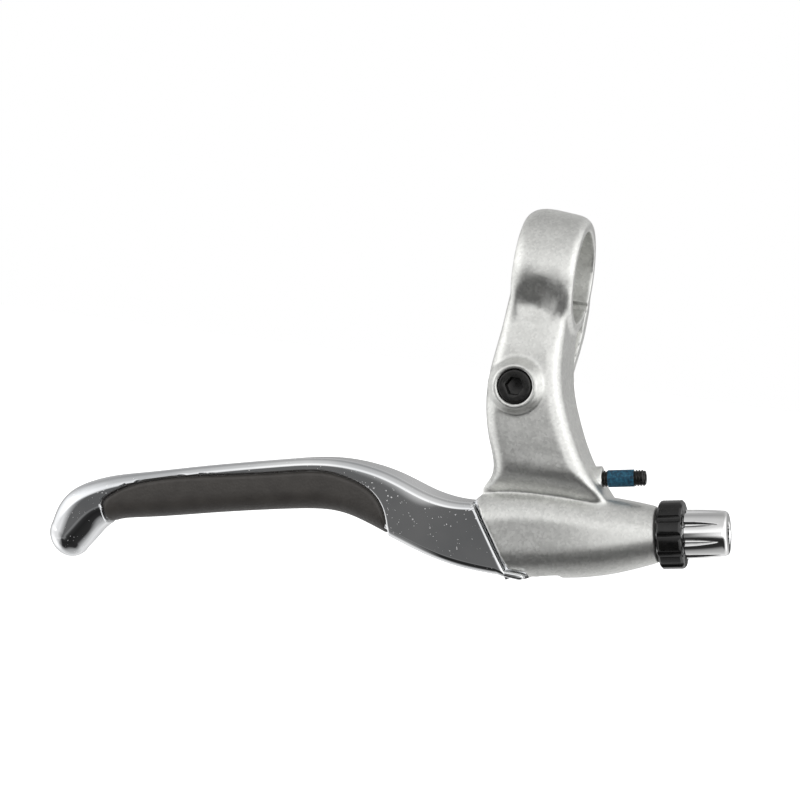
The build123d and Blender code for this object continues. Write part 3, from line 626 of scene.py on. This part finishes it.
# outline (x, z) of the lip, in mm
LIP = ((-1.5, -71.8), (4.1, -72.0), (4.6, -72.2), (4.85, -72.65), (4.75, -73.15), (4.35, -73.5),
       (3.9, -73.62), (1.0, -73.42), (-0.5, -73.25), (-1.5, -73.0))
LIP_DEPTH = 8.8             # to either side of the lever's middle
LIP_EDGE = 0.68             # of the rounds on its edges


def lower_lip():
    """The lip that runs on from the blade's lower edge, under the end of the cable housing."""
    piece = slab("lever_lip", LIP, LEVER_Y / MM - LIP_DEPTH, LEVER_Y / MM + LIP_DEPTH)
    round_edges(piece, LIP_EDGE * MM, radians(60), segments=4)
    smooth_shade(piece, radians(50))
    return finish_piece(piece, "lever", "polished_aluminium", BLADE, "lever_blade")


ROOT_OFFSET = 0.03          # of the root's face from the blade's end
ROOT_OVERLAP = 1.5          # how far the root runs on inside the blade
ROOT_EDGE = 0.3             # of the rounds on its edges


def lever_root():
    """The part of the lever that goes into the body: hub, neck, cable anchor and lower lip."""
    piece = clean_copy("lever_blade", "lever_root")
    top = Vector((STATIONS[-1][0], 0, STATIONS[-1][1]))
    bottom = Vector((STATIONS[-1][2], 0, STATIONS[-1][3]))
    along = (bottom - top).normalized()
    cut_normal = Vector((-along.z, 0, along.x))
    form = bmesh.new()
    form.from_mesh(piece.data)
    geometry = form.verts[:] + form.edges[:] + form.faces[:]
    bmesh.ops.bisect_plane(form, geom=geometry, plane_co=(top + cut_normal * ROOT_OFFSET) * MM,
                           plane_no=cut_normal, clear_inner=True)
    rim = [e for e in form.edges if e.is_boundary]
    moved = bmesh.ops.extrude_edge_only(form, edges=rim)["geom"]
    bmesh.ops.translate(form, verts=[g for g in moved if isinstance(g, bmesh.types.BMVert)],
                        vec=-cut_normal * ROOT_OVERLAP * MM)
    bmesh.ops.holes_fill(form, edges=[e for e in form.edges if e.is_boundary])
    bmesh.ops.recalc_face_normals(form, faces=form.faces)
    form.to_mesh(piece.data)
    form.free()
    round_edges(piece, ROOT_EDGE * MM, radians(40))
    smooth_shade(piece, radians(35))
    return finish_piece(piece, "lever", "polished_aluminium", BLADE, "lever_blade")


# ---- adjuster barrel and reach screw ----
# distances along the cable are from the end of the housing, in mm
BARREL_END = 16.8
HEAD_START = 6.6
HEAD_CHAMFER = 0.2
BARREL_RADIUS = 5.85
BARREL_TAPER = 0.4
TIP_ROUND = 1.2
SHANK_START = -13.5
SHANK_RADIUS = 4.8
SHANK_PITCH = 1.0
SHANK_THREAD = 0.45         # depth of its thread
SEAT_RADIUS = 2.55
SEAT_DEPTH = 9.0
SEAT_CHAMFER = 0.3
PASSAGE_RADIUS = 1.6
SLOT_HALF = 0.9
GROOVES = 8
GROOVE_TURN = 3.5           # degrees that the grooves are turned from an even spread about the front
GROOVE_DEPTH = 1.0
GROOVE_HALF = 0.9           # half width where it starts, beside the lock ring
GROOVE_STOP = 1.5           # from the grooves' points to the tip
LOBE_CROWN = 0.25           # how far each lobe's middle stands out from its sides
SEAT_LENGTH = mounts["cable_housing_seat"]["dims"]["length_mm"]
CABLE_END = CABLE_SEAT + CABLE_DIR * (SEAT_LENGTH / 2 - BARREL_END) * MM


def turned(name, profile, radius_at, origin, steps, slot=0.0):
    """A turned piece, from a profile of (along, radius) in mm.

    Where there is a slot, of this half width along the lower side, the profile is a closed loop.
    """
    rings = []
    for at, radius in profile:
        low = np.arcsin(min(slot / radius, 1.0)) if slot else 0.0
        turn = np.linspace(low, 2 * np.pi - low, steps, endpoint=bool(slot))
        reach = radius_at(at, radius, turn)
        rings.append(np.stack([np.full(steps, at), -reach * np.sin(turn), -reach * np.cos(turn)], axis=1))
    count = len(rings)
    faces = []
    for i in range(count if slot else count - 1):
        after = (i + 1) % count
        for j in range(steps - 1 if slot else steps):
            beside = (j + 1) % steps
            faces.append((i * steps + j, i * steps + beside, after * steps + beside, after * steps + j))
    if slot:
        faces.append(tuple(i * steps for i in range(count)))
        faces.append(tuple(i * steps + steps - 1 for i in range(count - 1, -1, -1)))
    else:
        faces.append(tuple(range(steps)))
        faces.append(tuple(range(count * steps - 1, (count - 1) * steps - 1, -1)))
    mesh = bpy.data.meshes.new(name)
    mesh.from_pydata((np.concatenate(rings) * MM).tolist(), [], faces)
    mesh.transform(Matrix((
        (CABLE_DIR.x, 0, CABLE_UP.x, origin.x),
        (0, 1, 0, origin.y),
        (CABLE_DIR.z, 0, CABLE_UP.z, origin.z),
        (0, 0, 0, 1),
    )))
    form = bmesh.new()
    form.from_mesh(mesh)
    bmesh.ops.triangulate(form, faces=[f for f in form.faces if len(f.verts) > 4])
    bmesh.ops.recalc_face_normals(form, faces=form.faces)
    form.to_mesh(mesh)
    form.free()
    return smooth_shade(link_mesh(name, mesh), radians(38))


FLANK_SLOPE = 4             # fall of a thread's flanks over one pitch, for a thread of height 1
FLANK_PEAK = 1.6            # height where the flanks would meet, with the flat crest at 1


def crest(at, turn, pitch):
    """Height of a screw thread between its root, 0, and its flat crest, 1."""
    phase = (at / pitch + turn / (2 * np.pi)) % 1.0
    return np.clip(FLANK_PEAK - FLANK_SLOPE * np.abs(phase - 0.5), 0, 1)


def barrel_adjuster():
    """The adjuster: eight tapering grooves in a polished head, a threaded shank, and a slot for the cable."""
    groove_end = BARREL_END - GROOVE_STOP
    shank = [(at, SHANK_RADIUS) for at in np.arange(SHANK_START, HEAD_START, SHANK_PITCH / 8)]
    head = [(HEAD_START, SHANK_RADIUS), (HEAD_START, BARREL_RADIUS - HEAD_CHAMFER),
            (HEAD_START + HEAD_CHAMFER, BARREL_RADIUS)]
    for share in np.linspace(0.02, 1, 36):
        at = HEAD_START + HEAD_CHAMFER + share * (BARREL_END - TIP_ROUND - HEAD_START - HEAD_CHAMFER)
        head.append((at, BARREL_RADIUS - BARREL_TAPER * share ** 2))
    edge = BARREL_RADIUS - BARREL_TAPER - TIP_ROUND
    for turn in np.linspace(0.1, 1, 12) * np.pi / 2:
        head.append((BARREL_END - TIP_ROUND * (1 - sin(turn)), edge + TIP_ROUND * cos(turn)))
    seat_floor = BARREL_END - SEAT_DEPTH
    seat = [(BARREL_END, SEAT_RADIUS + SEAT_CHAMFER), (BARREL_END - SEAT_CHAMFER, SEAT_RADIUS),
            (seat_floor, SEAT_RADIUS), (seat_floor, PASSAGE_RADIUS), (SHANK_START, PASSAGE_RADIUS)]

    def radius_at(at, radius, turn):
        if radius == SHANK_RADIUS and at < HEAD_START:
            return radius - SHANK_THREAD * (1 - crest(at, turn, SHANK_PITCH))
        if radius <= SHANK_RADIUS or at < HEAD_START:
            return np.full(len(turn), radius)
        run = min((at - HEAD_START) / (groove_end - HEAD_START), 1.0)
        spread = 360 / GROOVES
        aside = np.abs((np.degrees(turn) - spread / 2 - GROOVE_TURN + spread / 2) % spread - spread / 2)
        half = GROOVE_HALF * (1 - run ** 2) + 0.02
        groove = np.clip(1 - np.radians(aside) * radius / half, 0, 1) * GROOVE_DEPTH * (1 - run ** 2)
        crown = LOBE_CROWN * (1 - 2 * aside / spread) ** 2 * (1 - run ** 2)
        return radius - np.maximum(groove, crown)

    steps = 288
    piece = turned("barrel_finished", shank + head + seat, radius_at, CABLE_END, steps, SLOT_HALF)
    return finish_piece(piece, "adjuster", "polished_aluminium", BARREL, "barrel_adjuster")


def reach_screw():
    """The socket set screw that limits the lever's reach, with its thread."""
    low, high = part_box("reach_screw")
    radius, length, pitch = 1.95, 20.4, 0.7
    socket, depth = 2.0, 2.5
    chamfer, thread = 0.35, 0.3
    margin = 0.3            # from either end to the first and last ring of the thread
    face_ring = 0.6         # from the outside to a ring on the end face
    middle = (Vector(low) + Vector(high)) / 2
    start = middle - CABLE_DIR * length / 2 * MM
    profile = [(0, radius - chamfer)]
    profile += [(at, radius) for at in np.arange(margin, length - margin, pitch / 8)]
    # a radius of -1 stands for the six-sided socket
    profile += [(length, radius - chamfer), (length, radius - face_ring), (length, -1), (length - depth, -1)]

    def radius_at(at, size, turn):
        if size == radius:
            ends = min(at, length - at, chamfer) / chamfer
            return radius - chamfer * (1 - ends) - thread * (1 - crest(at, turn, pitch)) * ends
        if size < 0:
            return socket / 2 / np.cos(turn % (np.pi / 3) - np.pi / 6)
        return np.full(len(turn), size)

    piece = turned("reach_screw_finished", profile, radius_at, start, 48)
    return finish_piece(piece, "reach", "black_steel", BLACK_STEEL, "reach_screw")


# ---- studio ----
FLOOR_DROP = 0.075          # from the lever's lowest point down to the floor, in metres


def make_floor():
    """A wide pale floor under the lever, which hangs on its handlebar clamp."""
    low, _ = cad_box
    form = bmesh.new()
    bmesh.ops.create_circle(form, cap_ends=True, segments=96, radius=6.0)
    mesh = bpy.data.meshes.new("floor")
    form.to_mesh(mesh)
    form.free()
    floor = link_mesh("floor", mesh)
    floor.location.z = low.z - FLOOR_DROP
    floor.visible_diffuse = False
    floor.visible_glossy = False
    shader = Shader("pale_floor", Roughness=0.9, Specular_IOR_Level=0.1)
    shader.link(shader.ramp(shader.noise(3, 2.0), [(0.3, grey(0.90)), (0.7, grey(0.93))]), "Base Color")
    shader.surface.inputs["Emission Color"].default_value = (1, 1, 1, 1)
    shader.surface.inputs["Emission Strength"].default_value = 0.7
    mesh.materials.append(shader.material)


# brightness of the studio by direction; heights run from -1, straight down the picture, to 1
FRONT_HEIGHTS = ((-1, 0.35), (-0.95, 0.20), (-0.89, 0.03), (-0.6, 0.02), (-0.36, 0.04),
                 (-0.12, 1.35), (0.15, 1.15), (0.4, 1.08), (0.65, 0.70), (1, 0.60))
BACK_HEIGHTS = ((-1, 0.50), (-0.7, 0.90), (-0.4, 0.75), (0.0, 0.32), (0.4, 0.60), (1, 0.36))
# share of the back pattern, from behind the lever, -1, to in front of it, 1
DEPTHS = ((-0.25, 1.0), (0.25, 0.0))
# light added from the left, -1, and from the right, 1
SIDES = ((-0.9, 0.75), (-0.6, 0.0), (0.6, 0.0), (0.9, 0.60))
# dim patch on the camera's side, to the left: how strong it is by height and from left to right
DARK_HEIGHTS = ((-0.42, 0.0), (-0.24, 1.0), (0.10, 1.0), (0.22, 0.0))
DARK_SIDES = ((-0.9, 1.0), (-0.24, 1.0), (-0.02, 0.0))
DARK_LEVEL = 0.14
BRIGHTEST = 2.0


def make_world():
    """White studio: in front, bright from about level up and dark below, with a dim patch on the left."""
    world = bpy.data.worlds.new("studio")
    bpy.context.scene.world = world
    world.use_nodes = True
    tree = world.node_tree
    background = tree.nodes["Background"]
    direction = tree.nodes.new("ShaderNodeTexCoord").outputs["Generated"]

    def along(axis):
        made = tree.nodes.new("ShaderNodeVectorMath")
        made.operation = "DOT_PRODUCT"
        tree.links.new(direction, made.inputs[0])
        made.inputs[1].default_value = axis
        return made.outputs["Value"]

    def ramp(value, stops, scale=1.0):
        spread = tree.nodes.new("ShaderNodeMapRange")
        spread.inputs["From Min"].default_value = -1
        tree.links.new(value, spread.inputs["Value"])
        made = tree.nodes.new("ShaderNodeValToRGB")
        ends = made.color_ramp.elements
        for index, (position, level) in enumerate(stops):
            stop = ends[index] if index < 2 else ends.new((position + 1) / 2)
            stop.position = (position + 1) / 2
            stop.color = (level * scale, level * scale, level * scale, 1)
        tree.links.new(spread.outputs["Result"], made.inputs["Fac"])
        return made.outputs["Color"]

    def mix(factor, first, second):
        made = tree.nodes.new("ShaderNodeMix")
        made.data_type = "RGBA"
        for socket, value in ((0, factor), (6, first), (7, second)):
            if isinstance(value, bpy.types.NodeSocket):
                tree.links.new(value, made.inputs[socket])
            else:
                made.inputs[socket].default_value = value
        return made.outputs[2]

    up, near, right = along(PICTURE_UP), along(PICTURE_NEAR), along(PICTURE_RIGHT)
    dark = tree.nodes.new("ShaderNodeMath")
    dark.operation = "MULTIPLY"
    tree.links.new(ramp(up, DARK_HEIGHTS), dark.inputs[0])
    tree.links.new(ramp(right, DARK_SIDES), dark.inputs[1])
    front = mix(dark.outputs[0], ramp(up, FRONT_HEIGHTS, 1 / BRIGHTEST), (*[DARK_LEVEL / BRIGHTEST] * 3, 1))
    around = mix(ramp(near, DEPTHS), front, ramp(up, BACK_HEIGHTS, 1 / BRIGHTEST))
    added = tree.nodes.new("ShaderNodeMix")
    added.data_type = "RGBA"
    added.blend_type = "ADD"
    added.inputs[0].default_value = 1.0
    tree.links.new(around, added.inputs[6])
    tree.links.new(ramp(right, SIDES, 1 / BRIGHTEST), added.inputs[7])
    around = added.outputs[2]
    seen = tree.nodes.new("ShaderNodeLightPath").outputs["Is Camera Ray"]
    tree.links.new(mix(seen, around, (*[1 / BRIGHTEST] * 3, 1)), background.inputs["Color"])
    background.inputs["Strength"].default_value = BRIGHTEST


def make_light():
    """A weak softbox in front of the lever and above it, on top of the light from the studio's walls."""
    centre = (cad_box[0] + cad_box[1]) / 2
    data = bpy.data.lights.new("softbox", "AREA")
    data.shape = "RECTANGLE"
    data.size, data.size_y = 0.7, 0.5
    data.energy = 0.3
    light = bpy.data.objects.new("softbox", data)
    light.location = centre + PICTURE_NEAR * 0.7 + PICTURE_UP * 0.5
    light.rotation_euler = (centre - light.location).to_track_quat("-Z", "Y").to_euler()
    light.visible_glossy = False
    bpy.context.scene.collection.objects.link(light)


make_camera()
make_floor()
make_world()
make_light()
bpy.context.scene.view_settings.view_transform = "Standard"

body_casting()
lever_blade()
lever_root()
lower_lip()
grip_insert()
barrel_adjuster()
reach_screw()
for node, name, body, slot, material, width in (
    ("clamp_bolt", "clamp_bolt_finished", "body", "black_steel", BLACK_STEEL, 0.15 * MM),
    ("pivot_bolt", "pivot_bolt_finished", "body", "black_steel", BLACK_STEEL, 0.12 * MM),
    ("lock_ring", "lock_ring_finished", "adjuster_lock", "black_anodised", BLACK_RING, 0.12 * MM),
):
    finish_piece(bevelled(node, name, width), body, slot, material, node)
for node, material in (("return_spring", SPRING), ("front_bushing", NYLON), ("rear_bushing", NYLON),
                       ("thread_lock_patch", PATCH)):
    nodes[node].data.materials.clear()
    nodes[node].data.materials.append(material)
